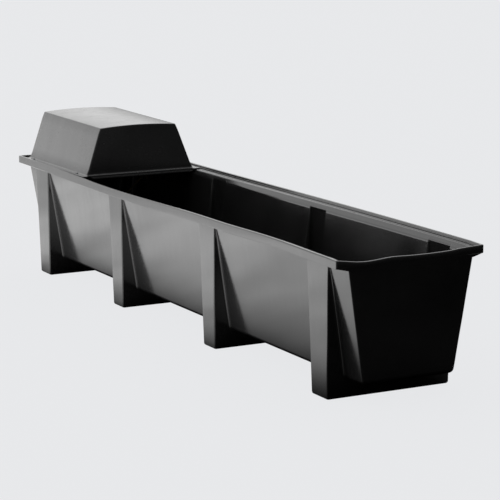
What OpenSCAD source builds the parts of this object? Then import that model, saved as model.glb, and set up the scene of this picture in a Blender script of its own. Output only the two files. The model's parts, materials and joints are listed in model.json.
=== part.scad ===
// Livestock water trough: a moulded tank on four pairs of hollow legs, with a service cover
// over a float valve and a drain plug in the long wall.
// +X runs along the trough away from the cover, +Z is up, the origin is on the ground at the centre.

/* [Tank] */
// Overall length over the rim
tank_l = 2440; // [2000:10:3000]
// Overall width over the rim
tank_w = 515; // [480:5:560]
// Height of the rim above the ground
rim_h = 450; // [440:5:480]
// Thickness of the moulded wall
wall = 5.5; // [4:0.5:7]
// Height of the outside of the floor above the ground
floor_h = 62; // [50:1:75]
// Half width of the tank outside, just above the floor
floor_half_w = 159; // [150:1:170]
// Half width of the tank outside, just under the rim
top_half_w = 212; // [205:1:214]
// How far the rim overhangs the end wall
end_overhang = 4; // [3:0.5:8]

/* [Rim] */
// Height of the rim's outer band
band_h = 26.5; // [20:0.5:30]
// Width of the raised lip on top of the band
lip_w = 11; // [8:0.5:12]
// Depth from the lip to the ledge inside it
ledge_drop = 10; // [8:0.5:12]
// Half width of the opening at the inner edge of the ledge
ledge_half_w = 222; // [218:1:226]

/* [Legs] */
// Half width over the outer faces of the legs
leg_half_w = 216.6; // [214:0.2:220]
// X of each leg's upright side
leg_x = [-1022, -345, 375, 1104];
// Width of each leg at the ground
leg_w = [89, 80, 79, 92];
// How much wider a leg is under the rim than at the ground
leg_flare = 36; // [20:1:45]
// Radius of a leg's lower edges
leg_r = 8; // [4:1:12]

/* [Service cover] */
// X of the cover's back panel
cover_back_x = -1195; // [-1200:1:-1185]
// X of the cover's front panel at the rim
cover_front_x = -640; // [-680:1:-600]
// Half width of the cover at the rim
cover_half_w = 219; // [210:1:221]
// Half width of the cover along its top edges
cover_top_half_w = 156; // [140:1:170]
// Height of the cover's top edges above the ground
cover_edge_h = 613; // [590:1:640]
// Rise of the crowned top above its edges
cover_crown = 7; // [4:1:12]
// Thickness of the cover
cover_t = 4.5; // [3.5:0.5:5]
// Width over the foot that rests on the ledge, halved
foot_half_w = 243; // [240:0.5:243]
// Height of the rib along the ledge that locates the foot
rib_h = 1.6; // [1:0.1:2]

/* [Float valve] */
// X of the inlet
valve_x = -950; // [-980:5:-900]
// Height of the inlet
valve_z = 385; // [380:1:385]
// Radius of the half inch pipe thread
inlet_r = 10.48; // [10.48]
// Distance from the lever's pin to the middle of the float
arm_l = 230; // [200:5:240]
// Angle of the arm below level when the tank is empty
arm_rest = 43; // [35:1:45]
// Angle through which the float lifts the arm
arm_swing = 35; // [30:1:35]
// Radius of the float
float_r = 57; // [50:1:57]

/* [Drain] */
// X of the drain
drain_x = 740; // [500:5:950]
// Height of the drain
drain_z = 106; // [104:1:115]
// Radius of the one inch drain thread
drain_r = 16.6; // [16.6]

/* [Hidden] */
$fn = 64;
eps = 0.5;

black = "#202022";
brass = "#b5924a";
zinc = "#a9adb0";
rubber = "#2b2b2b";

// Tank
half_l = tank_l / 2;
half_w = tank_w / 2;
end_top = half_l - end_overhang;
end_foot = end_top - 3;
ledge_z = rim_h - ledge_drop;
skirt_z = rim_h - band_h;
under_z = skirt_z - 11.5;
rib_y = half_w - lip_w - 9.5;
in_end = end_top - wall - 2.5;
floor_r = 15;
arc_steps = 6;

// Flat planes that divide the moulded tank into its nodes
feet_cut = floor_h - 3;
floor_cut = floor_h + 18;
rim_cut = under_z - 4;
end_cut = half_l - 70;

// Fixings of the cover
bolt_x = [-1130, -710];
bolt_y = 229.5;
bolt_r = 2.95;
bolt_hole_r = 3.3;
bolt_head_r = 7;
bolt_head_h = 3;
bolt_l = 22;
cover_washer_t = 1.6;
cover_washer_r = 6.5;
wing_nut_t = 6;
wing_nut_r = 5.2;
wing_t = 2.4;

// Float valve, measured from the flat inlet boss into the tank
boss_in_y = 197;
boss_t = 16;
boss_r = 30;
washer_t = 3;
nut_t = 8;
nut_af = 30;
shank_out = 55;
relief_z = -29;
relief_r = 9.4;
collar_t = 6;
collar_z = washer_t + nut_t;
barrel_z = collar_z + collar_t;
barrel_end = 66;
barrel_r = 11;
waterway_r = 5;
chamber_z = 20;
chamber_r = 8.05;
piston_r = 8;
piston_z = [31, 60];
seat_nose_z = 24;
piston_washer_r = 6.5;
piston_washer_t = 3.6;
outlet_z = 26;
pivot_z = 50;
pivot_y = -15.5;
pin_r = 1.9;
finger_l = 11;
fork_half = 3.7;
ear_in = 4.4;
ear_out = 8.4;
socket_r = 5;
socket_s = [9, 24];
rod_r = 3.175;
float_wall = 2;
insert_r = 8;
insert_l = 24;

// Drain, measured from the flat inside of its boss out of the tank
drain_in_y = 151;
drain_boss_t = 21;
drain_boss_r = 32;
drain_flange_r = 27;
drain_flange_t = 5;
drain_bore_r = 13.05;
drain_plug_r = 13;
drain_tube_l = 38;
drain_nut_af = 46;
drain_nut_t = 9;
o_ring_t = 2;

// One corner of an outline as an arc of radius r; p is the corner between points a and b
function corner_arc(p, a, b, r, n) =
    let (u = (a - p) / norm(a - p), v = (b - p) / norm(b - p), half = acos(u * v) / 2,
         c = p + (u + v) / norm(u + v) * r / sin(half),
         s = p + u * r / tan(half) - c, e = p + v * r / tan(half) - c,
         from = atan2(s[1], s[0]), turn = (atan2(e[1], e[0]) - from + 540) % 360 - 180)
    [for (i = [0:n]) c + r * [cos(from + turn * i / n), sin(from + turn * i / n)]];

// An outline whose corners have the given radii; a radius of 0 keeps the corner sharp
function rounded(points, radii, n = 4) =
    let (m = len(points))
    [for (i = [0:m - 1]) each radii[i] > 0
        ? corner_arc(points[i], points[(i + m - 1) % m], points[(i + 1) % m], radii[i], n)
        : [points[i]]];

// A rectangle centred on the origin, half sizes a and b, at height z, with corners of radius r at the
// front end and rb at the back end
function ring(a, b, r, z, rb = 0) =
    [for (c = [[1, 1, 0], [-1, 1, 90], [-1, -1, 180], [1, -1, 270]]) for (i = [0:arc_steps])
        let (t = c[2] + 90 * i / arc_steps, q = c[0] < 0 && rb > 0 ? rb : r)
        [c[0] * (a - q) + q * cos(t), c[1] * (b - q) + q * sin(t), z]];

// A solid through a stack of rings that all have the same number of points
module loft(rings) {
    n = len(rings[0]);
    m = len(rings);
    sides = [for (k = [0:m - 2]) for (i = [0:n - 1])
        let (a = k * n + i, b = k * n + (i + 1) % n) each [[a, a + n, b + n], [a, b + n, b]]];
    polyhedron(points = [for (r = rings) each r],
        faces = concat([[for (i = [0:n - 1]) i]], sides, [[for (i = [n - 1:-1:0]) (m - 1) * n + i]]));
}

// An outline in the XZ plane, extruded to both sides of the centre line
module across(half, points) rotate([90, 0, 0]) linear_extrude(2 * half, center = true) polygon(points);

// An outline in the YZ plane, extruded from x0 to x1
module along(x0, x1, points) translate([x0, 0, 0]) rotate([90, 0, 90]) linear_extrude(x1 - x0)
    polygon(points);

module hexagon(af, h) cylinder(h = h, r = af / sqrt(3), $fn = 6);

module washer(r, bore, h) difference() {
    cylinder(h = h, r = r);
    translate([0, 0, -eps]) cylinder(h = h + 2 * eps, r = bore);
}

// ---- Tank ----

module tank_outside() loft([
    ring(end_foot - floor_r, floor_half_w - floor_r, 6, floor_h, 14),
    ring(end_foot - floor_r * 0.3, floor_half_w - floor_r * 0.35, 10, floor_h + floor_r * 0.3, 24),
    ring(end_foot, floor_half_w, 13, floor_h + floor_r, 28),
    ring(end_top, top_half_w, 10, under_z),
    ring(half_l, half_w, 12, skirt_z),
    ring(half_l, half_w, 12, rim_h - 3),
    ring(half_l - 0.9, half_w - 0.9, 11, rim_h - 0.9),
    ring(half_l - 3, half_w - 3, 9, rim_h)]);

module tank_inside() {
    lip_in = half_w - lip_w;
    loft([
        ring(end_foot - wall - floor_r, floor_half_w - wall - floor_r, 5, floor_h + wall, 10),
        ring(end_foot - wall - floor_r * 0.3, floor_half_w - wall - floor_r * 0.35, 9,
            floor_h + wall + floor_r * 0.3, 20),
        ring(end_foot - wall, floor_half_w - wall, 11, floor_h + wall + floor_r, 24),
        ring(in_end, top_half_w - wall, 18, ledge_z - 21),
        ring(in_end, top_half_w - wall + 3, 22, ledge_z - 13),
        ring(in_end, ledge_half_w - 2, 30, ledge_z - 1),
        ring(in_end + 0.5, ledge_half_w, 31, ledge_z),
        ring(in_end + 1, rib_y - 1.5, 20, ledge_z),
        ring(in_end + 1.5, rib_y, 18, ledge_z + rib_h),
        ring(in_end + 2, rib_y + 1.5, 16, ledge_z),
        ring(in_end + 2.5, lip_in - 1.5, 8, ledge_z),
        ring(in_end + 3, lip_in, 7, rim_h - 2.5),
        ring(in_end + 4, lip_in + 2, 8, rim_h),
        ring(in_end + 4, lip_in + 2, 8, rim_h + 10)]);
}

// The open space under the rim on one long side; side is 1 or -1
module rim_cavity(side) along(-half_l + 7.5, half_l - 7.5, [for (p = [
    [top_half_w + 0.5, under_z - 9], [top_half_w + 0.5, ledge_z - 19],
    [ledge_half_w - 1, ledge_z - wall], [half_w - lip_w - 6, ledge_z - wall],
    [half_w - lip_w - 6, rim_h - wall], [half_w - wall, rim_h - wall],
    [half_w - wall, under_z - 9]]) [side * p[0], p[1]]]);

// The outline of leg i seen from the side, drawn in by inset and cut off at height top
function leg_outline(i, inset, top) =
    let (x1 = leg_x[i] - inset, foot = leg_x[i] - leg_w[i] + inset,
         head = foot - leg_flare * top / skirt_z, r = max(leg_r - inset, 2))
    rounded([[foot, inset], [x1, inset], [x1, top], [head, top]], [r, r, 0, 0]);

module flat_boss(x, y, z, r, t) translate([x, y, z]) rotate([-90, 0, 0]) cylinder(h = t, r = r);

// The whole tank, which is one moulding
module moulding() difference() {
    union() {
        difference() {
            union() {
                difference() {
                    tank_outside();
                    rim_cavity(1);
                    rim_cavity(-1);
                }
                for (i = [0:3]) across(leg_half_w, leg_outline(i, 0, ledge_z - wall + 1));
            }
            tank_inside();
            for (i = [0:3]) across(leg_half_w - wall, leg_outline(i, wall, rim_h));
        }
        flat_boss(valve_x, boss_in_y, valve_z, boss_r, boss_t);
        flat_boss(drain_x, drain_in_y, drain_z, drain_boss_r, drain_boss_t);
    }
    flat_boss(valve_x, boss_in_y - eps, valve_z, inlet_r + 0.1, boss_t + 2 * eps);
    flat_boss(drain_x, drain_in_y - eps, drain_z, drain_r + 0.1, drain_boss_t + 2 * eps);
    bolt_places() translate([0, 0, ledge_z - wall - eps]) cylinder(h = wall + 2 * eps, r = bolt_hole_r);
}

// The part of the moulding between two corners of a box
module tank_part(low, high) color(black) intersection() {
    moulding();
    translate(low) cube(high - low);
}

module tank_rim() tank_part([-half_l - 5, -half_w - 5, rim_cut], [half_l + 5, half_w + 5, rim_h + 5]);
module tank_near_wall() tank_part([-end_cut, -half_w - 5, floor_cut], [end_cut, 0, rim_cut]);
module tank_far_wall() tank_part([-end_cut, 0, floor_cut], [end_cut, half_w + 5, rim_cut]);
module tank_front_end() tank_part([end_cut, -half_w - 5, floor_cut], [half_l + 5, half_w + 5, rim_cut]);
module tank_back_end() tank_part([-half_l - 5, -half_w - 5, floor_cut], [-end_cut, half_w + 5, rim_cut]);
module tank_floor() tank_part([-half_l - 5, -half_w - 5, feet_cut], [half_l + 5, half_w + 5, floor_cut]);
module tank_feet() tank_part([-half_l - 5, -half_w - 5, -5], [half_l + 5, half_w + 5, feet_cut]);

// ---- Service cover ----

module bolt_places() for (x = bolt_x) for (s = [-1, 1]) translate([x, s * bolt_y, 0]) children();

// The cover's cross-section, drawn in by inset, from height base up to its crowned top
function cover_section(inset, base) =
    let (side = (cover_half_w - cover_top_half_w) / (cover_edge_h - ledge_z), in = inset * sqrt(1 + side * side),
         top = cover_edge_h - inset, e = cover_top_half_w - in + inset * side,
         b = cover_half_w - in + (ledge_z - base) * side, steps = 12)
    concat([[-b, base]], [for (i = [0:steps]) let (t = 2 * i / steps - 1) [t * e, top + cover_crown * (1 - t * t)]],
        [[b, base]]);

module cover_block(inset, base) intersection() {
    along(cover_back_x + inset, cover_front_x, cover_section(inset, base));
    across(half_w, [[cover_back_x + inset, base - eps], [cover_front_x - inset, base - eps],
        [cover_front_x - 17 - inset, cover_edge_h + 20], [cover_back_x - 1 + inset, cover_edge_h + 20]]);
}

foot_back_x = -half_l + end_overhang + wall + 4;
lip_out = 10;
step_out = 21;
step_drop = 8.5;
step_half = 206;
rib_groove = 6;

// A rectangle centred on the origin with rounded corners, seen from above
module plan(a, b, r) polygon(rounded([[-a, -b], [a, -b], [a, b], [-a, b]], [r, r, r, r]));

front = cover_front_x + step_out - foot_back_x;
step_z = ledge_z + cover_t - step_drop;

module service_cover() color(black) difference() {
    union() {
        cover_block(0, ledge_z);
        // Foot on the ledge, and the flat lip that joins it along the front
        translate([foot_back_x, -foot_half_w, ledge_z])
            linear_extrude(cover_t) polygon(rounded([[0, 0], [front, 0], [front, foot_half_w - step_half],
                [front + lip_out - step_out, foot_half_w - step_half],
                [front + lip_out - step_out, foot_half_w + step_half], [front, foot_half_w + step_half],
                [front, 2 * foot_half_w], [0, 2 * foot_half_w]], [7, 9, 0, 0, 0, 0, 9, 7]));
        // Step that hangs from the lip between the two ledges
        across(step_half, [[cover_front_x + lip_out - cover_t, ledge_z + cover_t - eps],
            [cover_front_x + lip_out, ledge_z + cover_t - eps], [cover_front_x + lip_out, step_z],
            [cover_front_x + step_out, step_z], [cover_front_x + step_out, step_z - cover_t],
            [cover_front_x + lip_out - cover_t, step_z - cover_t]]);
    }
    cover_block(cover_t, ledge_z - 2 * eps);
    // Groove that sits over the rib on the ledge
    translate([0, 0, ledge_z - 1]) linear_extrude(rib_h + 1.6) difference() {
        plan(in_end + 2.5, rib_y + rib_groove / 2, 17);
        plan(in_end + 0.4, rib_y - rib_groove / 2, 21);
    }
    bolt_places() translate([0, 0, ledge_z - eps]) cylinder(h = cover_t + 2 * eps, r = bolt_hole_r);
}

module cover_bolts() color(zinc) bolt_places() translate([0, 0, ledge_z + cover_t]) {
    dome_r = (bolt_head_r * bolt_head_r + bolt_head_h * bolt_head_h) / (2 * bolt_head_h);
    intersection() {
        translate([0, 0, bolt_head_h - dome_r]) sphere(r = dome_r);
        cylinder(h = bolt_head_h + 1, r = bolt_head_r);
    }
    translate([0, 0, -bolt_l]) cylinder(h = bolt_l + eps, r = bolt_r);
}

module cover_washers() color(zinc) bolt_places()
    translate([0, 0, ledge_z - wall - cover_washer_t]) washer(cover_washer_r, bolt_r + 0.1, cover_washer_t);

module cover_wing_nuts() color(zinc) bolt_places()
    translate([0, 0, ledge_z - wall - cover_washer_t - wing_nut_t]) difference() {
        union() {
            cylinder(h = wing_nut_t, r = wing_nut_r);
            for (turn = [0, 180]) rotate([90, 0, turn]) linear_extrude(wing_t, center = true)
                polygon(rounded([[4, 0], [11, -4], [15, -3], [14, 3], [4, 5]], [0, 2, 2, 2, 1]));
        }
        translate([0, 0, -eps]) cylinder(h = wing_nut_t + 2 * eps, r = bolt_r + 0.05);
    }

// ---- Float valve: z runs from the inlet boss into the tank, y is up ----

module from_inlet() translate([valve_x, boss_in_y, valve_z]) rotate([90, 0, 0]) children();

// Along the float arm at rest, from the lever's pin towards the float
module from_pivot() from_inlet() translate([0, pivot_y, pivot_z]) rotate([arm_rest, 0, 0]) children();

module crosswise(half, r) rotate([0, 90, 0]) cylinder(h = 2 * half, r = r, center = true);

module valve_body() color(brass) from_inlet() difference() {
    union() {
        translate([0, 0, -shank_out]) cylinder(h = shank_out + collar_z + eps, r = inlet_r);
        translate([0, 0, collar_z]) cylinder(h = collar_t, r = 15);
        translate([0, 0, collar_z]) cylinder(h = barrel_end - collar_z, r = barrel_r);
        translate([0, -9, outlet_z]) rotate([90, 0, 0]) cylinder(h = 12, r = 6);
        for (s = [-1, 1]) translate([s * (ear_in + ear_out) / 2, pivot_y, pivot_z]) {
            crosswise((ear_out - ear_in) / 2, 4.5);
            translate([-(ear_out - ear_in) / 2, 0, -4.5]) cube([ear_out - ear_in, 9, 9]);
        }
    }
    // Relief between the backnut and the free end of the thread
    translate([0, 0, relief_z]) washer(inlet_r + 1, relief_r, -relief_z - boss_t - washer_t - nut_t);
    translate([0, 0, -shank_out - eps]) cylinder(h = shank_out + chamber_z + 2 * eps, r = waterway_r);
    translate([0, 0, chamber_z]) cylinder(h = barrel_end, r = chamber_r);
    translate([0, 0, outlet_z]) rotate([90, 0, 0]) cylinder(h = 30, r = 3.5);
    translate([-ear_in, -12, pivot_z - 5.5]) cube([2 * ear_in, 8, 12]);
    translate([0, pivot_y, pivot_z]) crosswise(ear_out + 1, pin_r);
}

module valve_end_cap() color(brass) from_inlet() {
    translate([0, 0, barrel_end - 4]) cylinder(h = 4, r = chamber_r);
    translate([0, 0, barrel_end]) hexagon(17, 4);
}

module valve_seat() color("white") from_inlet() difference() {
    union() {
        translate([0, 0, chamber_z]) cylinder(h = 2.5, r = chamber_r);
        translate([0, 0, chamber_z]) cylinder(h = seat_nose_z - chamber_z, r = 4);
    }
    translate([0, 0, chamber_z - eps]) cylinder(h = 8, r = 1.6);
}

module valve_piston() color(brass) from_inlet() difference() {
    translate([0, 0, piston_z[0]]) cylinder(h = piston_z[1] - piston_z[0], r = piston_r);
    translate([0, 0, piston_z[0] - eps]) cylinder(h = piston_washer_t - 0.1 + eps, r = piston_washer_r);
    translate([-fork_half - 0.3, -piston_r - 1, pivot_z + finger_l * sin(arm_swing / 2) - 3.2])
        cube([2 * fork_half + 0.6, piston_r - 0.5, 6.4]);
}

module piston_washer() color(rubber) from_inlet()
    translate([0, 0, piston_z[0] - 0.1]) cylinder(h = piston_washer_t, r = piston_washer_r);

module lever_fork() color(brass) {
    difference() {
        union() {
            from_pivot() crosswise(fork_half, 4.5);
            from_pivot() translate([-fork_half, -3.5, 0]) cube([2 * fork_half, 7, socket_s[0] + 1]);
            from_pivot() translate([0, 0, socket_s[0]]) cylinder(h = socket_s[1] - socket_s[0], r = socket_r);
            // Finger that pushes the piston, and its rounded tip
            from_inlet() translate([0, pivot_y, pivot_z]) rotate([arm_swing / 2, 0, 0]) {
                translate([-fork_half, 0, -1.7]) cube([2 * fork_half, finger_l, 3.4]);
                translate([0, finger_l, 0]) crosswise(fork_half, 2.8);
            }
        }
        from_pivot() crosswise(fork_half + 1, pin_r + 0.05);
        from_pivot() translate([0, 0, socket_s[0] + 3]) cylinder(h = 30, r = rod_r);
    }
}

module lever_pin() color(zinc) from_inlet() translate([0, pivot_y, pivot_z]) {
    crosswise(ear_out + 3, pin_r);
    translate([ear_out + 2, 0, 0]) crosswise(1, 3.2);
}

float_boss_s = arm_l - float_r - 4;

module float_arm() color(brass) from_pivot() translate([0, 0, socket_s[0] + 3])
    cylinder(h = float_boss_s + insert_l - 2 - socket_s[0] - 3, r = rod_r);

module arm_locknut() color(brass) from_pivot() translate([0, 0, socket_s[1]]) difference() {
    hexagon(11, 5);
    translate([0, 0, -eps]) cylinder(h = 6, r = rod_r);
}

module float_ball() color("#26282b") from_pivot() difference() {
    translate([0, 0, arm_l]) sphere(r = float_r);
    translate([0, 0, arm_l]) sphere(r = float_r - float_wall);
    translate([0, 0, float_boss_s - 5]) cylinder(h = 20, r = insert_r);
}

module float_insert() color(brass) from_pivot() translate([0, 0, float_boss_s]) difference() {
    cylinder(h = insert_l, r = insert_r);
    translate([0, 0, -eps]) cylinder(h = insert_l - 2 + eps, r = rod_r);
}

module inner_backnut() color(brass) from_inlet() translate([0, 0, washer_t]) difference() {
    hexagon(nut_af, nut_t);
    translate([0, 0, -eps]) cylinder(h = nut_t + 2 * eps, r = inlet_r);
}

module outer_backnut() color(brass) from_inlet() translate([0, 0, -boss_t - washer_t - nut_t]) difference() {
    hexagon(nut_af, nut_t);
    translate([0, 0, -eps]) cylinder(h = nut_t + 2 * eps, r = inlet_r);
}

module inner_inlet_washer() color(rubber) from_inlet() washer(18, inlet_r, washer_t);

module outer_inlet_washer() color(rubber) from_inlet() translate([0, 0, -boss_t - washer_t])
    washer(18, inlet_r, washer_t);

// ---- Drain: z runs from the inside of the boss out of the tank ----

module from_drain() translate([drain_x, drain_in_y, drain_z]) rotate([-90, 0, 0]) children();

module drain_bush() color(black) from_drain() difference() {
    union() {
        translate([0, 0, -washer_t - drain_flange_t]) cylinder(h = drain_flange_t, r = drain_flange_r);
        translate([0, 0, -washer_t - drain_flange_t])
            cylinder(h = drain_tube_l + washer_t + drain_flange_t, r = drain_r);
    }
    translate([0, 0, -20]) cylinder(h = drain_tube_l + 30, r = drain_bore_r);
}

module drain_gasket() color(rubber) from_drain() translate([0, 0, -washer_t])
    washer(drain_flange_r - 1, drain_r, washer_t);

module drain_backnut() color(black) from_drain() translate([0, 0, drain_boss_t]) difference() {
    hexagon(drain_nut_af, drain_nut_t);
    translate([0, 0, -eps]) cylinder(h = drain_nut_t + 2 * eps, r = drain_r);
}

module drain_plug() color("#303235") from_drain() {
    translate([0, 0, drain_tube_l - 22]) cylinder(h = 22 + o_ring_t, r = drain_plug_r);
    translate([0, 0, drain_tube_l + o_ring_t]) cylinder(h = 4, r = 19);
    translate([0, 0, drain_tube_l + o_ring_t + 4]) hexagon(22, 12);
}

module plug_o_ring() color(rubber) from_drain() translate([0, 0, drain_tube_l])
    washer(16.5, drain_plug_r, o_ring_t);

tank_rim();
tank_near_wall();
tank_far_wall();
tank_front_end();
tank_back_end();
tank_floor();
tank_feet();
service_cover();
cover_bolts();
cover_washers();
cover_wing_nuts();
valve_body();
valve_end_cap();
valve_seat();
valve_piston();
piston_washer();
lever_fork();
lever_pin();
float_arm();
arm_locknut();
float_ball();
float_insert();
inner_backnut();
outer_backnut();
inner_inlet_washer();
outer_inlet_washer();
drain_bush();
drain_gasket();
drain_backnut();
drain_plug();
plug_o_ring();
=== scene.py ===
import json
import math

import bmesh
import bpy
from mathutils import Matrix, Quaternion, Vector, noise


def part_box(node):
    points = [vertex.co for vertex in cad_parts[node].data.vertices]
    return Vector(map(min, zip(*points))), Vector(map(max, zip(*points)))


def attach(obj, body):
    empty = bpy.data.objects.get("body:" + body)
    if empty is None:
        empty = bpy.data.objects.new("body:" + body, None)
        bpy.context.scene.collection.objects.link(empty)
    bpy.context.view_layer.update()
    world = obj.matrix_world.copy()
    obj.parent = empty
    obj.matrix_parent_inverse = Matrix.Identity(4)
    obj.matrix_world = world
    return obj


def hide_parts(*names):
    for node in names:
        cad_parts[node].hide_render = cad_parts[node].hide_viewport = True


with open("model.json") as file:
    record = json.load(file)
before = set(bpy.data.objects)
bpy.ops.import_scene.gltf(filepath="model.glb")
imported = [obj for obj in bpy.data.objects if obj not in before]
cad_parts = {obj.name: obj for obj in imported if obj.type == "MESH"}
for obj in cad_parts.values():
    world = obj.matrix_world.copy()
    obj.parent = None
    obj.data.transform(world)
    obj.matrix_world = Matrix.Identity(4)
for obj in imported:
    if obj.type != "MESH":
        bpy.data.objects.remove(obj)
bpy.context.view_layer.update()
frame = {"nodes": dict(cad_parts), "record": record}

MM = 0.001
TANK_NODES = ("tank_rim", "tank_near_wall", "tank_far_wall", "tank_front_end", "tank_back_end",
              "tank_floor", "tank_feet")
RIM_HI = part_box("tank_rim")[1] / MM
COVER_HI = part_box("service_cover")[1] / MM

# Driving sizes of the tank, in millimetres
HALF_L = RIM_HI.x
HALF_W = RIM_HI.y
RIM_Z = RIM_HI.z
WALL = 5.5
FLOOR_Z = 62.0
FLOOR_R = 15.0
FLOOR_HALF_W = 159.0
TOP_HALF_W = 212.0
LEDGE_Z = RIM_Z - 10.0
SKIRT_Z = RIM_Z - 26.5
UNDER_Z = SKIRT_Z - 11.5
END_TOP = HALF_L - 4.0
END_FOOT = END_TOP - 3.0
END_INSIDE = END_TOP - WALL - 2.5
LEG_HALF_W = 216.6
LEG_X = (-1022.0, -345.0, 375.0, 1104.0)
LEG_W = (89.0, 80.0, 79.0, 92.0)
LEG_FLARE = 36.0
CREASE_R = 7.0
EDGE_R = 5.0
MOST_ROUND = 0.48
BAY_STEP = 28
COVER_WASHER_R = 6.5
BOLT_HOLE_R = 3.3


# ---------------------------------------------------------------- mesh helpers

def new_object(name, verts, faces):
    """A mesh object from points in millimetres."""
    mesh = bpy.data.meshes.new(name)
    mesh.from_pydata([Vector(v) * MM for v in verts], [], faces)
    mesh.update()
    obj = bpy.data.objects.new(name, mesh)
    bpy.context.scene.collection.objects.link(obj)
    return obj


def tidy_normals(obj):
    bm = bmesh.new()
    bm.from_mesh(obj.data)
    bmesh.ops.recalc_face_normals(bm, faces=bm.faces)
    bm.to_mesh(obj.data)
    bm.free()


def smooth(obj, angle=38):
    """Smooth shading with sharp edges past the angle, and normals that follow the large faces."""
    mesh = obj.data
    mesh.polygons.foreach_set("use_smooth", [True] * len(mesh.polygons))
    mesh.set_sharp_from_angle(angle=math.radians(angle))
    weighted = obj.modifiers.new("weighted", "WEIGHTED_NORMAL")
    weighted.keep_sharp = True
    weighted.weight = 60


def cut(obj, tool, operation):
    """Applies a Boolean of tool to obj, and removes tool."""
    modifier = obj.modifiers.new("cut", "BOOLEAN")
    modifier.operation = operation
    modifier.object = tool
    modifier.solver = "EXACT"
    depsgraph = bpy.context.evaluated_depsgraph_get()
    result = bpy.data.meshes.new_from_object(obj.evaluated_get(depsgraph))
    obj.modifiers.remove(modifier)
    old, obj.data = obj.data, result
    bpy.data.meshes.remove(old)
    bpy.data.objects.remove(tool)


def lathe(name, profile, centre, direction, steps=64):
    """A solid of revolution with flat ends. profile is a list of (radius, distance along the axis)."""
    z_axis = Vector(direction).normalized()
    x_axis = z_axis.orthogonal().normalized()
    y_axis = z_axis.cross(x_axis)
    verts, faces = [], []
    for r, h in profile:
        for i in range(steps):
            t = 2 * math.pi * i / steps
            verts.append(Vector(centre) + x_axis * r * math.cos(t) + y_axis * r * math.sin(t) + z_axis * h)
    for k in range(len(profile) - 1):
        for i in range(steps):
            j = (i + 1) % steps
            faces.append((k * steps + i, k * steps + j, (k + 1) * steps + j, (k + 1) * steps + i))
    faces.append(tuple(reversed(range(steps))))
    last = (len(profile) - 1) * steps
    faces.append(tuple(range(last, last + steps)))
    obj = new_object(name, verts, faces)
    tidy_normals(obj)
    return obj


def joined(name, objects):
    """One object that holds the meshes of several."""
    bm = bmesh.new()
    for obj in objects:
        bm.from_mesh(obj.data)
        bpy.data.objects.remove(obj)
    mesh = bpy.data.meshes.new(name)
    bm.to_mesh(mesh)
    bm.free()
    obj = bpy.data.objects.new(name, mesh)
    bpy.context.scene.collection.objects.link(obj)
    return obj


def mix(a, b, t):
    return a + (b - a) * t


def ramp(value, start, stop):
    """Eases from 0 at start to 1 at stop, and stays level beyond them."""
    t = min(1, max(0, (value - start) / (stop - start)))
    return t * t * (3 - 2 * t)


def arc(centre_y, centre_z, r, from_deg, to_deg, steps):
    """Points of an arc, as (y, z)."""
    angles = [math.radians(mix(from_deg, to_deg, i / steps)) for i in range(steps + 1)]
    return [(centre_y + r * math.cos(t), centre_z + r * math.sin(t)) for t in angles]


# ---------------------------------------------------------------- tank

class Row:
    """One line round the tank. bay, leg and end are its (y, z) beside a bay, on a leg and at the ends.
    a is its reach along X, r and r_front are its back and front corners' radii, and inset is how far it is
    inside the outer skin."""

    def __init__(self, bay, leg, a, r, inset=0.0, end=None, r_front=None):
        self.bay, self.leg, self.a, self.r, self.inset = bay, leg, a, r, inset
        self.r_front = r if r_front is None else r_front
        self.end = end or bay


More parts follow.
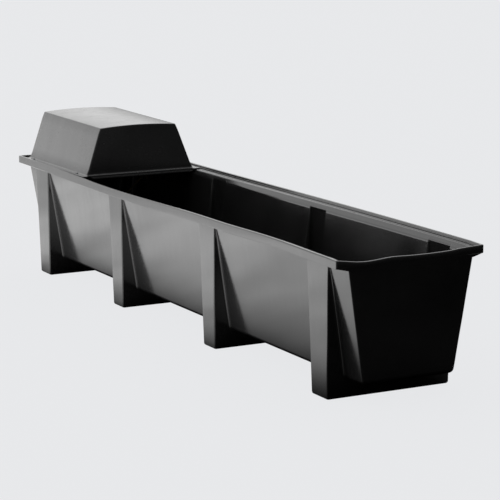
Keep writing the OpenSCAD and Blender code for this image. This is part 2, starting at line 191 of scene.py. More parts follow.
def tank_rows():
    rows = []
    draft = (TOP_HALF_W - FLOOR_HALF_W) / (UNDER_Z - FLOOR_Z - FLOOR_R)
    # Outside of the floor's edge; on a leg the same rows go round the foot and up its face
    floor_arc = arc(FLOOR_HALF_W - FLOOR_R - 0.2, FLOOR_Z + FLOOR_R, FLOOR_R, -90, -9, 8)
    foot = arc(LEG_HALF_W - 8, 8, 8, -90, 0, 4) + [(LEG_HALF_W, z) for z in (20, 36, 52, 66)]
    for i, (bay, leg) in enumerate(zip(floor_arc, foot)):
        rows.append(Row(bay, leg, END_FOOT - FLOOR_HALF_W + bay[0], mix(8, 16, i / 8),
                        r_front=mix(4, 8, i / 8)))
    steps = 15
    for i in range(steps + 1):
        z = mix(FLOOR_Z + FLOOR_R, UNDER_Z, i / steps)
        bay = (FLOOR_HALF_W + draft * (z - FLOOR_Z - FLOOR_R), z)
        rows.append(Row(bay, (LEG_HALF_W, z), mix(END_FOOT, END_TOP, i / steps), mix(16, 7, i / steps),
                        r_front=mix(8, 6, i / steps)))
    # Up under the rim, across below the ledge, and down the inside of the band
    under = [(212.3, 416.5), (213, 421.5), (215.5, 427), (218.5, 431.5), (221.5, 434), (225, 434.7),
             (239, 434.7), (240.3, 435.3), (240.8, 436.5), (240.8, 443), (241.5, 444.3), (243, 444.7),
             (250, 444.7), (251.4, 444.2), (252, 442.8), (252, 425), (252.4, 423.3), (253.8, 422.3)]
    for i, (y, z) in enumerate(under):
        f = (i + 1) / (len(under) + 1)
        end = (mix(TOP_HALF_W, HALF_W - 2, f), mix(UNDER_Z, SKIRT_Z - 1, f))
        rows.append(Row((y, z), (max(y, LEG_HALF_W), z), mix(END_TOP, HALF_L - 1.5, f), mix(7, 6, f),
                        end=end))
    # Outer band and over the lip
    band = [(256, 422.3, -1.5), (257.2, 423.3, -0.3), (257.5, 425, 0), (257.5, 446, 0), (257.2, 448, -0.3),
            (256.2, 449.4, -1.3), (254.6, 450, -2.9), (251.5, 450, -5), (249.2, 449.8, -7.3),
            (247.7, 449.1, -8.5), (246.8, 447.8, -9), (245.8, 442.5, -9.3), (245.2, 441, -9.5),
            (243.8, 440.1, -9.7)]
    for i, (y, z, da) in enumerate(band):
        r = mix(6, 4.5, min(1, max(0, (i - 5) / 6)))
        rows.append(Row((y, z), (y, z), HALF_L + da, r, WALL * i / len(band)))
    # Ledge with its rib, and the shoulder down to the inner wall
    inner = [(240, 440, 14), (239.2, 440.1, 15), (238, 440.7, 16), (237.2, 441.5, 17), (236.3, 441.5, 18),
             (235.4, 440.7, 19), (234.2, 440.1, 20), (232, 440, 22), (224, 440, 29), (221.8, 439.7, 31),
             (219.8, 438.3, 30), (217.5, 435.6, 28), (214, 431.6, 26), (210.5, 427.8, 23), (208.4, 425, 21),
             (207, 421.8, 19)]
    inside_y = LEG_HALF_W - WALL
    for i, (y, z, r) in enumerate(inner):
        a = mix(HALF_L - 9.8, END_INSIDE, i / len(inner))
        rows.append(Row((y, z), (max(y, inside_y), z), a, r, WALL))
    for i in range(steps + 1):
        z = mix(LEDGE_Z - 22, FLOOR_Z + WALL + FLOOR_R, i / steps)
        bay = (FLOOR_HALF_W - WALL + draft * (z - FLOOR_Z - FLOOR_R - WALL), z)
        rows.append(Row(bay, (inside_y, z), mix(END_INSIDE, END_INSIDE - 0.5, i / steps),
                        mix(18, 24, i / steps), WALL, r_front=mix(18, 11, i / steps)))
    floor_arc = arc(FLOOR_HALF_W - WALL - FLOOR_R - 0.2, FLOOR_Z + WALL + FLOOR_R, FLOOR_R, -9, -90, 8)
    foot = [(inside_y, z) for z in (68, 52, 36, 20)] + arc(inside_y - 6, WALL + 6, 6, 0, -90, 4)
    for i, (bay, leg) in enumerate(zip(floor_arc, foot)):
        rows.append(Row(bay, leg, END_INSIDE - 0.5 - FLOOR_HALF_W + WALL + bay[0], mix(24, 10, i / 8), WALL,
                        r_front=mix(11, 5, i / 8)))
    return rows


def leg_side(depth, inset):
    """The columns down a leg's side, from its face to the bay: (offset away from the leg, depth reached).
    The edge's round narrows and the crease's widens with the inset, and both stay under half the depth."""
    gap = 0.4
    edge = min(EDGE_R - 0.5 * inset, MOST_ROUND * depth)
    crease = min(CREASE_R + 0.9 * inset, MOST_ROUND * depth)
    wide_edge, wide_crease = max(edge, 1.5), max(crease, 1.5)
    turns = [math.radians(90 * i / 5) for i in range(6)]
    columns = [(-gap - wide_edge * (1 - math.sin(t)), depth - edge * (1 - math.cos(t))) for t in turns]
    for i in (1, 2):
        columns.append((mix(-gap, gap, i / 3), mix(depth - edge, crease, i / 3)))
    columns += [(gap + wide_crease * (1 - math.cos(t)), crease * (1 - math.sin(t))) for t in turns]
    return columns


def side_columns(row):
    """Every column along one long side: (x, share of the way from bay to leg), in +X order."""
    depth = math.dist(row.bay, row.leg)
    side = leg_side(depth, row.inset)
    share = [(x, n / depth if depth > 0.01 else 0) for x, n in side]
    flare = LEG_FLARE * row.leg[1] / SKIRT_Z
    reach = row.a - row.r_front
    columns = []
    at = -(row.a - row.r)
    for before, leg, width in zip((-HALF_L,) + LEG_X, LEG_X, LEG_W):
        right = leg - row.inset
        left = leg - width - flare + row.inset
        group = [(left - x, s) for x, s in reversed(share)]
        start = group[0][0]
        steps = max(4, round((leg - width - before) / BAY_STEP))
        columns += [(mix(at, start, i / steps), 0) for i in range(steps)]
        columns += group
        face_from, face_to = group[-1][0], right + share[0][0]
        columns += [(mix(face_from, face_to, i / 5), 1) for i in range(1, 5)]
        columns += [(right + x, s) for x, s in share]
        at = right + share[-1][0]
    steps = 5
    columns += [(mix(at, reach, i / steps), 0) for i in range(1, steps + 1)]
    return columns


CORNER_STEPS = 8
END_STEPS = 24


def row_points(row):
    """The row's points, anticlockwise from the back corner of the near side."""
    points = []
    side = [(x, mix(row.bay[0], row.leg[0], s), mix(row.bay[1], row.leg[1], s))
            for x, s in side_columns(row)]
    b, z = row.end
    corner = [math.radians(90 * i / CORNER_STEPS) for i in range(1, CORNER_STEPS)]
    across = [mix(-1, 1, i / END_STEPS) for i in range(END_STEPS + 1)]
    a, r, q = row.a, row.r_front, row.r
    points += [(x, -y, h) for x, y, h in side]
    points += [(a - r + r * math.sin(t), -(b - r) - r * math.cos(t), z) for t in corner]
    points += [(a, y * (b - r), z) for y in across]
    points += [(a - r + r * math.cos(t), b - r + r * math.sin(t), z) for t in corner]
    points += [(x, y, h) for x, y, h in reversed(side)]
    points += [(-a + q - q * math.sin(t), b - q + q * math.cos(t), z) for t in corner]
    points += [(-a, -y * (b - q), z) for y in across]
    points += [(-a + q - q * math.cos(t), -(b - q) - q * math.sin(t), z) for t in corner]
    return points, len(side)


# Swells and sags of the rim, in millimetres: (place of the middle, half length, height). The long sides'
# places are along X, the front end's across Y.
NEAR_RIM = ((-370, 800, -9.0), (820, 350, 4.5))
FAR_RIM = ((600, 1400, 4.5),)
END_RIM = ((-165, 120, -10.5), (40, 290, -8.5))
FAR_BOW = 9.0


def swell(humps, at):
    """Height of a row of soft humps at one place."""
    return sum(height * math.cos(math.pi / 2 * (at - middle) / half) ** 2
               for middle, half, height in humps if abs(at - middle) < half)


def settled(p):
    """The sides of a moulding never end up quite straight. The rim rises and falls a little along its
    length, the front end's rim hangs, and the far wall bows out towards the front end, inside the rim's
    outer edge."""
    x, y, z = p
    bow = FAR_BOW * ramp(x, 100, 1300) * ramp(y, 20, 200) * ramp(y, HALF_W, LEG_HALF_W)
    bow *= mix(0.4, 1, ramp(z, 20, 90))
    rise = swell(NEAR_RIM if y < 0 else FAR_RIM, x) * ramp(abs(y), 120, 180) * ramp(z, 250, 410)
    hang = swell(END_RIM, y) * ramp(x, 1150, 1195) * ramp(z, 424, 442)
    x, y, z = waviness((x, y, z + rise + hang))
    return (x, y + bow, z)


def waviness(p):
    """Slow unevenness of a moulded wall, in millimetres, the same through its thickness."""
    x, y, z = p
    fade = min(1, max(0, (z - 80) / 40)) * min(1, max(0, (405 - z) / 50))
    if fade <= 0 or abs(y) < 140:
        return p
    side = 1 if y > 0 else -1
    slow = noise.noise(Vector((x / 330, z / 210, 3.1 * side)))
    quick = noise.noise(Vector((x / 120, z / 90, 11.7 * side)))
    return (x, y + fade * (1.1 * slow + 0.3 * quick), z)


def close_across(verts, faces, first, count, side_n):
    """Closes the hole inside one row: strips from side to side, and a flat cap at each end."""
    steps = 8
    near = [first + i for i in range(side_n)]
    far_start = side_n + (CORNER_STEPS - 1) * 2 + END_STEPS + 1
    far = [first + far_start + side_n - 1 - i for i in range(side_n)]
    grid = []
    for n, f in zip(near, far):
        line = [n]
        for t in range(1, steps):
            line.append(len(verts))
            verts.append(tuple(mix(p, q, t / steps) for p, q in zip(verts[n], verts[f])))
        grid.append(line + [f])
    for a, b in zip(grid, grid[1:]):
        for t in range(steps):
            faces.append((a[t], a[t + 1], b[t + 1], b[t]))
    ring = list(range(first, first + count))
    front = ring[side_n - 1:far_start + 1]
    faces.append(tuple(front + grid[-1][-2:0:-1]))
    back = ring[far_start + side_n - 1:] + [ring[0]]
    faces.append(tuple(back + grid[0][1:-1]))


def build_tank():
    verts, faces = [], []
    rows = tank_rows()
    for row in rows:
        points, side_n = row_points(row)
        verts += [settled(p) for p in points]
    count = len(points)
    for k in range(len(rows) - 1):
        for j in range(count):
            n = (j + 1) % count
            faces.append((k * count + j, k * count + n, (k + 1) * count + n, (k + 1) * count + j))
    close_across(verts, faces, 0, count, side_n)
    close_across(verts, faces, (len(rows) - 1) * count, count, side_n)
    tank = new_object("tank_moulding", verts, faces)
    tidy_normals(tank)

    # Flat bosses for the inlet and the drain, then the holes. Each boss has a place, the y of its inner
    # face, a thickness, a radius and its bore's radius
    valve = [(a + b) / 2 / MM for a, b in zip(*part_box("inner_backnut"))]
    drain = [(a + b) / 2 / MM for a, b in zip(*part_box("drain_backnut"))]
    boss = {"valve": (valve, 197, 16, 30, 10.58), "drain": (drain, 151, 21, 32, 16.7)}
    pads, bores = [], []
    for name, (place, y, t, r, bore) in boss.items():
        centre = (place[0], y, place[2])
        profile = [(r - 2, 0)] + [(r - 2 + h, t0) for h, t0 in ((1.2, 0.4), (2, 1.6))]
        profile += [(r, t - 1.6), (r - 0.8, t - 0.4), (r - 2, t)]
        pads.append(lathe(name, profile, centre, (0, 1, 0)))
        bores.append(lathe(name + "_bore", [(bore, -5), (bore, t + 5)], centre, (0, 1, 0), 48))
    lo, hi = (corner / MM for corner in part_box("cover_washers"))
    for x in (lo.x + COVER_WASHER_R, hi.x - COVER_WASHER_R):
        for y in (lo.y + COVER_WASHER_R, hi.y - COVER_WASHER_R):
            profile = [(BOLT_HOLE_R, -12), (BOLT_HOLE_R, 8)]
            bores.append(lathe("bolt_bore", profile, (x, y, LEDGE_Z), (0, 0, 1), 24))
    for pad in pads:
        cut(tank, pad, "UNION")
    cut(tank, joined("bores", bores), "DIFFERENCE")
    smooth(tank)
    return tank


# ---------------------------------------------------------------- service cover

COVER_BACK = -1195.0
COVER_FRONT = -640.0
COVER_HALF_W = 219.0
COVER_TOP_HALF_W = 156.0
COVER_EDGE_Z = COVER_HI.z - 7.0
COVER_T = 4.5
CROWN = 7.0
TOP_TILT = 6.0
STEP_DROP = 8.5
COVER_TOP_EDGE_R = 4.0
FRONT_LEAN = 17.0


def cover_top(x, y, drop):
    """Height of the crowned top at (x, y), drop below the outside."""
    share = min(1, abs(y) / COVER_TOP_HALF_W)
    back = (COVER_FRONT - FRONT_LEAN - x) / (COVER_FRONT - FRONT_LEAN - COVER_BACK)
    return COVER_EDGE_Z + TOP_TILT * back + CROWN * (1 - share * share) - drop


class CoverRow:
    """One line round the cover: its reach and corner radii, its height along the sides and the front, the
    share of the way from there to the top, its drop below the outside and its share of the lip's step."""

    def __init__(self, back, front, half_w, r_back, r_front, side_z, front_z, top_share=0.0, drop=0.0,
                 step=0.0):
        self.back, self.front, self.half_w, self.step = back, front, half_w, step
        self.r_back, self.r_front = r_back, r_front
        self.side_z, self.front_z, self.top_share, self.drop = side_z, front_z, top_share, drop


def cover_rows():
    rows = []
    rise = COVER_EDGE_Z - LEDGE_Z
    front_draft = FRONT_LEAN * rise / (rise + 20)
    narrow = COVER_HALF_W - COVER_TOP_HALF_W

    def panel(f, inset, r, drop=0.0, base_z=LEDGE_Z, front_base=None):
        return CoverRow(COVER_BACK - f + inset, COVER_FRONT - front_draft * f - inset,
                        COVER_HALF_W - narrow * f - inset * 1.065, r, r, base_z,
                        base_z if front_base is None else front_base, f, drop)

    # Inside: from the top edge down to the foot
    steps = 10
    for i in range(4):
        t = math.radians(90 * i / 3)
        row = panel(1, COVER_T + 2.5 * (1 - math.sin(t)), 3, COVER_T + 2.5 * (1 - math.cos(t)))
        rows.append(row)
    for i in range(1, steps + 1):
        f = 1 - 0.97 * i / steps
        rows.append(panel(f, COVER_T, 4, COVER_T, front_base=LEDGE_Z))
    # Underside of the foot, its edge and its top. Along the front the same rows make the lip, and its
    # step, which hangs between the ledges; the last number is the share of the step's drop.
    foot = [((-1190, 214.6, 4), 441, (-645, 441.2, 0)), ((-1191, 217, 4), 440, (-643.8, 440.1, 0)),
            ((-1193, 220, 5), 440, (-640, 440, 0)), ((-1195, 224, 5), 440, (-636, 440, 0)),
            ((-1197, 228, 5), 440, (-634.8, 440, 0.15)), ((-1199, 233, 6), 440, (-634.5, 440, 0.8)),
            ((-1200, 234.2, 6), 442.4, (-633.8, 440, 1)), ((-1202, 239.8, 6), 442.4, (-621, 440, 1)),
            ((-1204, 241, 7), 440, (-619.6, 440.3, 1)), ((-1206, 242.6, 7), 440.3, (-619, 441.4, 1)),
            ((-1206.5, 243, 7), 441.4, (-619, 443.1, 1)), ((-1206.5, 243, 7), 443.2, (-619.5, 444.2, 1)),
            ((-1206.1, 242.6, 7), 444.2, (-621, 444.6, 1)), ((-1205, 241.5, 7), 444.5, (-628, 444.9, 1)),
            ((-1202.5, 236, 7), 444.5, (-629.6, 444.8, 0.85)),
            ((-1200, 230, 7), 444.5, (-630.1, 444.7, 0.15)),
            ((-1198, 224.5, 6), 444.5, (-631.2, 444.6, 0)), ((-1196.6, 221.6, 6), 444.8, (-637, 444.7, 0)),
            ((-1195.9, 219.8, 6), 445.8, (-639.2, 445.6, 0)),
            ((-1195.4, 218.6, 6), 447.4, (-640.3, 447.4, 0)),
            ((-1195.1, 217.4, 6), 450, (-640.9, 450.4, 0))]
    for (back, half_w, r), side_z, (front, front_z, step) in foot:
        rows.append(CoverRow(back, front, half_w, r, 9 if front > -636 else 6, side_z, front_z, step=step))
    # Outside: up the panels and over the top edge
    for i in range(1, steps):
        f = 0.05 + 0.93 * i / steps
        rows.append(panel(f, 0, mix(6, 5, f)))
    for i in range(5):
        t = math.radians(90 * i / 4)
        r = COVER_TOP_EDGE_R
        rows.append(panel(1, r * (1 - math.cos(t)), 5, r * (1 - math.sin(t))))
    return rows


QUARTER = math.radians(90)
COVER_SIDE_STEPS = 18
COVER_CORNER_STEPS = 6
# Places across the cover, closer together where the lip steps down between the ledges
HALF_ACROSS = (0, 0.18, 0.36, 0.54, 0.72, 0.865, 0.88, 0.895, 0.91, 0.925, 0.965, 1)
COVER_ACROSS = [-t for t in HALF_ACROSS[:0:-1]] + list(HALF_ACROSS)
COVER_END_STEPS = len(COVER_ACROSS) - 1


def step_share(y):
    """The lip steps down between the ledges, and eases back up over 10 mm at each."""
    return ramp(abs(y), 215, 205)


def cover_points(row):
    points = []

    def add(x, y, blend):
        base = mix(row.side_z, row.front_z, blend)
        z = mix(base, cover_top(x, y, row.drop), row.top_share) if row.top_share else base
        points.append((x, y, z - blend * row.step * STEP_DROP * step_share(y)))

    rf, rb, w = row.r_front, row.r_back, row.half_w
    x0, x1 = row.back + rb, row.front - rf
    corner = [math.radians(90 * i / COVER_CORNER_STEPS) for i in range(1, COVER_CORNER_STEPS)]

    def along(i):
        return mix(x0, x1, i / COVER_SIDE_STEPS)

    for i in range(COVER_SIDE_STEPS + 1):
        add(along(i), -w, 0)
    for t in corner:
        add(x1 + rf * math.sin(t), -(w - rf) - rf * math.cos(t), ramp(t, 0, QUARTER))
    for i in range(COVER_END_STEPS + 1):
        add(row.front, COVER_ACROSS[i] * (w - rf), 1)
    for t in corner:
        add(x1 + rf * math.cos(t), w - rf + rf * math.sin(t), 1 - ramp(t, 0, QUARTER))
    for i in range(COVER_SIDE_STEPS, -1, -1):
        add(along(i), w, 0)
    for t in corner:
        add(x0 - rb * math.sin(t), w - rb + rb * math.cos(t), 0)
    for i in range(COVER_END_STEPS + 1):
        add(row.back, -COVER_ACROSS[i] * (w - rb), 0)
    for t in corner:
        add(x0 - rb * math.cos(t), -(w - rb) - rb * math.sin(t), 0)
    return points


def cap_cover(verts, faces, first, drop):
    """A crowned sheet across the cover, from one long side to the other."""
    side_n = COVER_SIDE_STEPS + 1
    corner_n = COVER_CORNER_STEPS - 1
    end_n = COVER_END_STEPS + 1
    start = {"near": 0, "front": side_n + corner_n, "far": side_n + 2 * corner_n + end_n}
    start["back"] = start["far"] + side_n + corner_n
    total = start["back"] + end_n + corner_n
    near = [first + i for i in range(side_n)]
    far = [first + start["far"] + side_n - 1 - i for i in range(side_n)]
    grid = []
    for n, f in zip(near, far):
        line = [n]
        for t in range(1, COVER_END_STEPS):
            x, y = (mix(verts[n][i], verts[f][i], (COVER_ACROSS[t] + 1) / 2) for i in (0, 1))
            line.append(len(verts))
            verts.append((x, y, cover_top(x, y, drop)))
        grid.append(line + [f])
    for a, b in zip(grid, grid[1:]):
        for t in range(COVER_END_STEPS):
            faces.append((a[t], a[t + 1], b[t + 1], b[t]))
    ring = [first + i for i in range(total)]
    front_row = ring[start["front"]:start["front"] + end_n]
    front_left = ring[side_n:start["front"]]
    front_right = ring[start["front"] + end_n:start["far"]]
    back_row = ring[start["back"]:start["back"] + end_n][::-1]
    back_right = ring[start["far"] + side_n:start["back"]][::-1]
    back_left = ring[start["back"] + end_n:]
    for t in range(COVER_END_STEPS):
        faces.append((grid[-1][t], grid[-1][t + 1], front_row[t + 1], front_row[t]))
        faces.append((grid[0][t], grid[0][t + 1], back_row[t + 1], back_row[t]))
    faces.append(tuple([grid[-1][0]] + front_left + [front_row[0]]))
    faces.append(tuple([grid[-1][-1], front_row[-1]] + front_right))
    faces.append(tuple([grid[0][0], back_row[0]] + back_left))
    faces.append(tuple([grid[0][-1]] + back_right[::-1] + [back_row[-1]]))


def build_cover():
    verts, faces = [], []
    rows = cover_rows()
    for row in rows:
        verts += cover_points(row)
    count = len(cover_points(rows[0]))
    for k in range(len(rows) - 1):
        for j in range(count):
            n = (j + 1) % count
            faces.append((k * count + j, k * count + n, (k + 1) * count + n, (k + 1) * count + j))
    cap_cover(verts, faces, 0, rows[0].drop)
    cap_cover(verts, faces, (len(rows) - 1) * count, rows[-1].drop)
    cover = new_object("cover_moulding", verts, faces)
    tidy_normals(cover)
    smooth(cover)
    return cover


# ---------------------------------------------------------------- materials

def node_material(name):
    material = bpy.data.materials.new(name)
    material.use_nodes = True
    tree = material.node_tree
    return material, tree.nodes, tree.links, tree.nodes["Principled BSDF"]


def noise_node(nodes, links, scale, detail=3.0, roughness=0.5, stretch=None):
    coords = nodes.new("ShaderNodeTexCoord")
    texture = nodes.new("ShaderNodeTexNoise")
    texture.inputs["Scale"].default_value = scale
    texture.inputs["Detail"].default_value = detail
    texture.inputs["Roughness"].default_value = roughness
    if stretch:
        mapping = nodes.new("ShaderNodeMapping")
        mapping.inputs["Scale"].default_value = stretch
        links.new(coords.outputs["Object"], mapping.inputs["Vector"])
        links.new(mapping.outputs["Vector"], texture.inputs["Vector"])
    else:
        links.new(coords.outputs["Object"], texture.inputs["Vector"])
    return texture


def remap(nodes, links, source, from_lo, from_hi, to_lo, to_hi):
    node = nodes.new("ShaderNodeMapRange")
    node.inputs["From Min"].default_value = from_lo
    node.inputs["From Max"].default_value = from_hi
    node.inputs["To Min"].default_value = to_lo
    node.inputs["To Max"].default_value = to_hi
    links.new(source, node.inputs["Value"])
    return node.outputs["Result"]


def math_node(nodes, links, operation, a, b=None):
    node = nodes.new("ShaderNodeMath")
    node.operation = operation
    for socket, value in zip(node.inputs, (a, b)):
        if value is None:
            continue
        if isinstance(value, (int, float)):
            socket.default_value = value
        else:
            links.new(value, socket)
    return node.outputs["Value"]


def vector_node(nodes, links, operation, a, b=None):
    node = nodes.new("ShaderNodeVectorMath")
    node.operation = operation
    links.new(a, node.inputs[0])
    if b is not None:
        node.inputs[1].default_value = b
    return node


def two_colours(nodes, links, factor, dark, light):
    blend = nodes.new("ShaderNodeMix")
    blend.data_type = "RGBA"
    blend.inputs["A"].default_value = (*dark, 1)
    blend.inputs["B"].default_value = (*light, 1)
    links.new(factor, blend.inputs["Factor"])
    return blend.outputs["Result"]


def add_bump(nodes, links, shader, height, strength, distance, below=None):
    bump = nodes.new("ShaderNodeBump")
    bump.inputs["Strength"].default_value = strength
    bump.inputs["Distance"].default_value = distance
    links.new(height, bump.inputs["Height"])
    if below:
        links.new(below.outputs["Normal"], bump.inputs["Normal"])
    links.new(bump.outputs["Normal"], shader.inputs["Normal"])
    return bump


def moulded_black(name, base, roughness, coat):
    """Glossy black moulded polyethylene: slow mottling, orange peel and a fine moulded grain."""
    material, nodes, links, shader = node_material(name)
    mottling = noise_node(nodes, links, 6, 4, 0.6)
    sink = noise_node(nodes, links, 9, 3, 0.5, (1, 1, 0.35))
    peel = noise_node(nodes, links, 140, 2, 0.4)
    grain = noise_node(nodes, links, 900, 2, 0.5)
    scuffs = noise_node(nodes, links, 26, 6, 0.7, (1, 1, 5))
    shade = remap(nodes, links, mottling.outputs["Fac"], 0.3, 0.7, 0, 1)
    links.new(two_colours(nodes, links, shade, [c * 0.8 for c in base], [c * 1.3 for c in base]),
              shader.inputs["Base Color"])
    worn = remap(nodes, links, scuffs.outputs["Fac"], 0.5, 0.75, 0, 0.1)
    gloss = remap(nodes, links, mottling.outputs["Fac"], 0.3, 0.7, roughness - 0.03, roughness + 0.04)
    links.new(math_node(nodes, links, "ADD", gloss, worn), shader.inputs["Roughness"])
    broad = add_bump(nodes, links, shader, sink.outputs["Fac"], 1.0, 0.0016)
    fine = add_bump(nodes, links, shader, peel.outputs["Fac"], 0.06, 0.0006, broad)
    add_bump(nodes, links, shader, grain.outputs["Fac"], 0.05, 0.0001, fine)
    shader.inputs["Coat Weight"].default_value = coat
    shader.inputs["Coat Roughness"].default_value = roughness * 0.8
    return material


def metal(name, dark, light, roughness, brushed):
    """Machined or plated metal: fine turning marks and slight tarnish."""
    material, nodes, links, shader = node_material(name)
    tarnish = noise_node(nodes, links, 60, 5, 0.6)
    marks = noise_node(nodes, links, 900, 2, 0.5, brushed)
    shade = remap(nodes, links, tarnish.outputs["Fac"], 0.35, 0.65, 0, 1)
    links.new(two_colours(nodes, links, shade, dark, light), shader.inputs["Base Color"])
    links.new(remap(nodes, links, tarnish.outputs["Fac"], 0.3, 0.7, roughness - 0.06, roughness + 0.1),
              shader.inputs["Roughness"])
    add_bump(nodes, links, shader, marks.outputs["Fac"], 0.15, 0.0001)
    shader.inputs["Metallic"].default_value = 1
    return material


def plastic(name, dark, light, roughness, grain_scale=700, bump=0.08):
    material, nodes, links, shader = node_material(name)
    mottling = noise_node(nodes, links, 40, 4, 0.6)
    grain = noise_node(nodes, links, grain_scale, 2, 0.5)
    shade = remap(nodes, links, mottling.outputs["Fac"], 0.35, 0.65, 0, 1)
    links.new(two_colours(nodes, links, shade, dark, light), shader.inputs["Base Color"])
    links.new(remap(nodes, links, mottling.outputs["Fac"], 0.3, 0.7, roughness - 0.05, roughness + 0.08),
              shader.inputs["Roughness"])
    add_bump(nodes, links, shader, grain.outputs["Fac"], bump, 0.0002)
    return material


MATERIALS = {
    "tank_polyethylene": moulded_black("tank_polyethylene", (0.019, 0.019, 0.0192), 0.16, 1.0),
    "cover_polyethylene": moulded_black("cover_polyethylene", (0.024, 0.024, 0.0243), 0.2, 1.0),
    "zinc_steel": metal("zinc_steel", (0.15, 0.155, 0.16), (0.26, 0.265, 0.28), 0.46, (1, 1, 8)),
    "valve_brass": metal("valve_brass", (0.16, 0.11, 0.055), (0.34, 0.25, 0.13), 0.42, (1, 6, 1)),
    "white_nylon": plastic("white_nylon", (0.7, 0.69, 0.64), (0.84, 0.83, 0.79), 0.42),
    "black_rubber": plastic("black_rubber", (0.012, 0.012, 0.012), (0.024, 0.023, 0.022), 0.72, 500, 0.2),
    "float_plastic": plastic("float_plastic", (0.008, 0.008, 0.009), (0.016, 0.016, 0.017), 0.3),
    "fitting_plastic": plastic("fitting_plastic", (0.012, 0.012, 0.012), (0.022, 0.022, 0.022), 0.42),
}
SLOT_OF = {row["node"]: row["material_slot"] for row in frame["record"]["subparts"]}


def dress(obj, slot):
    obj.data.materials.clear()
    obj.data.materials.append(MATERIALS[slot])


SMALL_ROUND = 0.4


def ease_edges(obj):
    """Smooth shading over the round faces, and a small round on every edge."""
    mesh = obj.data
    mesh.shade_smooth()
    bevel = obj.modifiers.new("round", "BEVEL")
    bevel.width = SMALL_ROUND * MM
    bevel.segments = 2
    bevel.limit_method = "ANGLE"
    bevel.angle_limit = math.radians(35)
    bevel.harden_normals = True
    shading = obj.modifiers.new("shading", "WEIGHTED_NORMAL")
    shading.keep_sharp = True


for node, obj in frame["nodes"].items():
    dress(obj, SLOT_OF[node])
    if node not in TANK_NODES and node != "service_cover":
        ease_edges(obj)

tank = build_tank()
dress(tank, "tank_polyethylene")
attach(tank, "tank")
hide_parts(*TANK_NODES)

cover = build_cover()
dress(cover, "cover_polyethylene")
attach(cover, "cover")
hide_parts("service_cover")


# ---------------------------------------------------------------- stage, light and camera

# What the camera sees behind and under the trough, and the strengths of what the trough reflects
PALE = (0.807, 0.815, 0.832)
FLOOR_SEEN = 0.965
STUDIO = 1.5
DIM = 0.12
FLOOR_DIM = 0.02
# Directions towards the bright side, and towards the dark part low on the far side
BRIGHT_WAY = Vector((-0.95, 0.0, 0.3)).normalized()
DARK_WAY = Vector((0, 1, -3)).normalized()

FLOOR_REACH = 60 / MM
# Half width across the trough, in metres, of the box that the floor glow's painted shadow fades out from
PAINTED_SHADOW_HALF_W = 0.2

# The photo's camera, fitted to the trough's straight edges: degrees, metres and millimetres
AZIMUTH = 62.45
ELEVATION = 12.84
ROLL = -0.14
DISTANCE = 7.006
LENS = 143.37
SENSOR = 36
SHIFT = (0.0599, 0.1411)


def seen_or_reflected(nodes, links, seen, reflected, output):
    """The camera sees one shader, and every reflection and bounce the other."""
    path = nodes.new("ShaderNodeLightPath")
    choose = nodes.new("ShaderNodeMixShader")
    links.new(path.outputs["Is Camera Ray"], choose.inputs["Fac"])
    links.new(reflected, choose.inputs[1])
    links.new(seen, choose.inputs[2])
    links.new(choose.outputs["Shader"], output.inputs["Surface"])


def build_world():
    """A pale backdrop. What the trough reflects of it is bright past the back end, dim past the front end,
    a little brighter near the horizon than above, and dark low on the far side."""
    world = bpy.data.worlds.new("studio")
    bpy.context.scene.world = world
    world.use_nodes = True
    nodes, links = world.node_tree.nodes, world.node_tree.links
    nodes.clear()
    output = nodes.new("ShaderNodeOutputWorld")
    seen = nodes.new("ShaderNodeBackground")
    seen.inputs["Color"].default_value = (*PALE, 1)
    lit = nodes.new("ShaderNodeBackground")
    direction = nodes.new("ShaderNodeTexCoord").outputs["Generated"]
    dot = vector_node(nodes, links, "DOT_PRODUCT", direction, BRIGHT_WAY)
    side = remap(nodes, links, dot.outputs["Value"], -0.35, 0.55, DIM, STUDIO)
    cloud = nodes.new("ShaderNodeTexNoise")
    cloud.inputs["Scale"].default_value = 9
    cloud.inputs["Detail"].default_value = 2
    links.new(direction, cloud.inputs["Vector"])
    uneven = remap(nodes, links, cloud.outputs["Fac"], 0.3, 0.7, 0.72, 1.08)
    height = nodes.new("ShaderNodeSeparateXYZ")
    links.new(direction, height.inputs["Vector"])
    low = remap(nodes, links, height.outputs["Z"], 0.12, 0.22, 1.15, 0.74)
    behind = vector_node(nodes, links, "DOT_PRODUCT", direction, DARK_WAY)
    hidden = remap(nodes, links, behind.outputs["Value"], -0.02, 0.1, 1.0, 0.1)
    strength = math_node(nodes, links, "MULTIPLY", math_node(nodes, links, "MULTIPLY", side, uneven), low)
    strength = math_node(nodes, links, "MULTIPLY", strength, hidden)
    links.new(strength, lit.inputs["Strength"])
    seen_or_reflected(nodes, links, seen.outputs["Background"], lit.outputs["Background"], output)


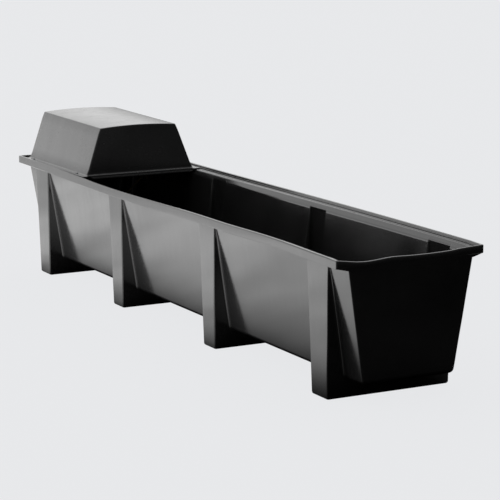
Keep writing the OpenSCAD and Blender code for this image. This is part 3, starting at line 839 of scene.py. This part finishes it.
def build_floor():
    """A pale floor. What the trough reflects of it glows, with a painted shadow of the trough close to it,
    and is darker past its front end and on its far side."""
    size = FLOOR_REACH
    floor = new_object("floor", [(-size, -size, 0), (size, -size, 0), (size, size, 0), (-size, size, 0)],
                       [(0, 1, 2, 3)])
    floor.location.z = -0.001
    material, nodes, links, shader = node_material("floor_pale")
    nodes.remove(shader)
    seen = nodes.new("ShaderNodeEmission")
    seen.inputs["Color"].default_value = (*PALE, 1)
    seen.inputs["Strength"].default_value = FLOOR_SEEN
    matte = nodes.new("ShaderNodeBsdfDiffuse")
    matte.inputs["Color"].default_value = (0.05, 0.05, 0.05, 1)
    both = nodes.new("ShaderNodeAddShader")
    links.new(seen.outputs["Emission"], both.inputs[0])
    links.new(matte.outputs["BSDF"], both.inputs[1])

    # The glow seen in reflections carries a painted shadow of the trough: dark at its footprint,
    # brightening with distance from it, over a shorter distance towards the back end
    lit = nodes.new("ShaderNodeEmission")
    place = nodes.new("ShaderNodeTexCoord").outputs["Object"]
    mirrored = vector_node(nodes, links, "ABSOLUTE", place)
    corner = (HALF_L * MM, PAINTED_SHADOW_HALF_W, 0)
    beyond = vector_node(nodes, links, "SUBTRACT", mirrored.outputs["Vector"], corner)
    outside = vector_node(nodes, links, "MAXIMUM", beyond.outputs["Vector"], (0, 0, 0))
    away = vector_node(nodes, links, "LENGTH", outside.outputs["Vector"]).outputs["Value"]
    parts = nodes.new("ShaderNodeSeparateXYZ")
    links.new(place, parts.inputs["Vector"])
    depth = remap(nodes, links, parts.outputs["X"], -0.9, 0.6, -6.0, -2.4)
    shade = math_node(nodes, links, "EXPONENT", math_node(nodes, links, "MULTIPLY", away, depth))
    clear_of_painted_shadow = math_node(nodes, links, "SUBTRACT", 1.0, shade)
    cloud = nodes.new("ShaderNodeTexNoise")
    cloud.inputs["Scale"].default_value = 2.2
    cloud.inputs["Detail"].default_value = 2
    links.new(place, cloud.inputs["Vector"])
    uneven = remap(nodes, links, cloud.outputs["Fac"], 0.3, 0.7, 0.72, 1.18)
    side = remap(nodes, links, parts.outputs["X"], 0.75, 1.25, STUDIO, FLOOR_DIM)
    left = remap(nodes, links, parts.outputs["X"], -2.9, -0.9, 0.62, 1.0)
    behind = remap(nodes, links, parts.outputs["Y"], 0.5, 0.9, 1.0, 0.05)
    edges = math_node(nodes, links, "MULTIPLY", left, behind)
    strength = math_node(nodes, links, "MULTIPLY", side, uneven)
    strength = math_node(nodes, links, "MULTIPLY", strength, clear_of_painted_shadow)
    strength = math_node(nodes, links, "MULTIPLY", strength, edges)
    distant = remap(nodes, links, parts.outputs["X"], 3.4, 4.4, 0, 0.16)
    strength = math_node(nodes, links, "ADD", strength, distant)
    links.new(strength, lit.inputs["Strength"])
    output = nodes["Material Output"]
    seen_or_reflected(nodes, links, both.outputs["Shader"], lit.outputs["Emission"], output)
    floor.data.materials.append(material)


def build_camera():
    camera = bpy.data.objects.new("camera", bpy.data.cameras.new("camera"))
    bpy.context.scene.collection.objects.link(camera)
    bpy.context.scene.camera = camera
    azimuth, elevation = math.radians(AZIMUTH), math.radians(ELEVATION)
    back = Vector((math.sin(azimuth) * math.cos(elevation), -math.cos(azimuth) * math.cos(elevation),
                   math.sin(elevation)))
    camera.location = back * DISTANCE
    level = back.to_track_quat("Z", "Y")
    roll = Quaternion((0, 0, 1), math.radians(ROLL))
    camera.rotation_euler = (level @ roll).to_euler()
    camera.data.sensor_width = SENSOR
    camera.data.lens = LENS
    camera.data.shift_x, camera.data.shift_y = SHIFT
    camera.data.clip_end = 200


build_world()
build_floor()
build_camera()
bpy.context.scene.view_settings.view_transform = "Standard"
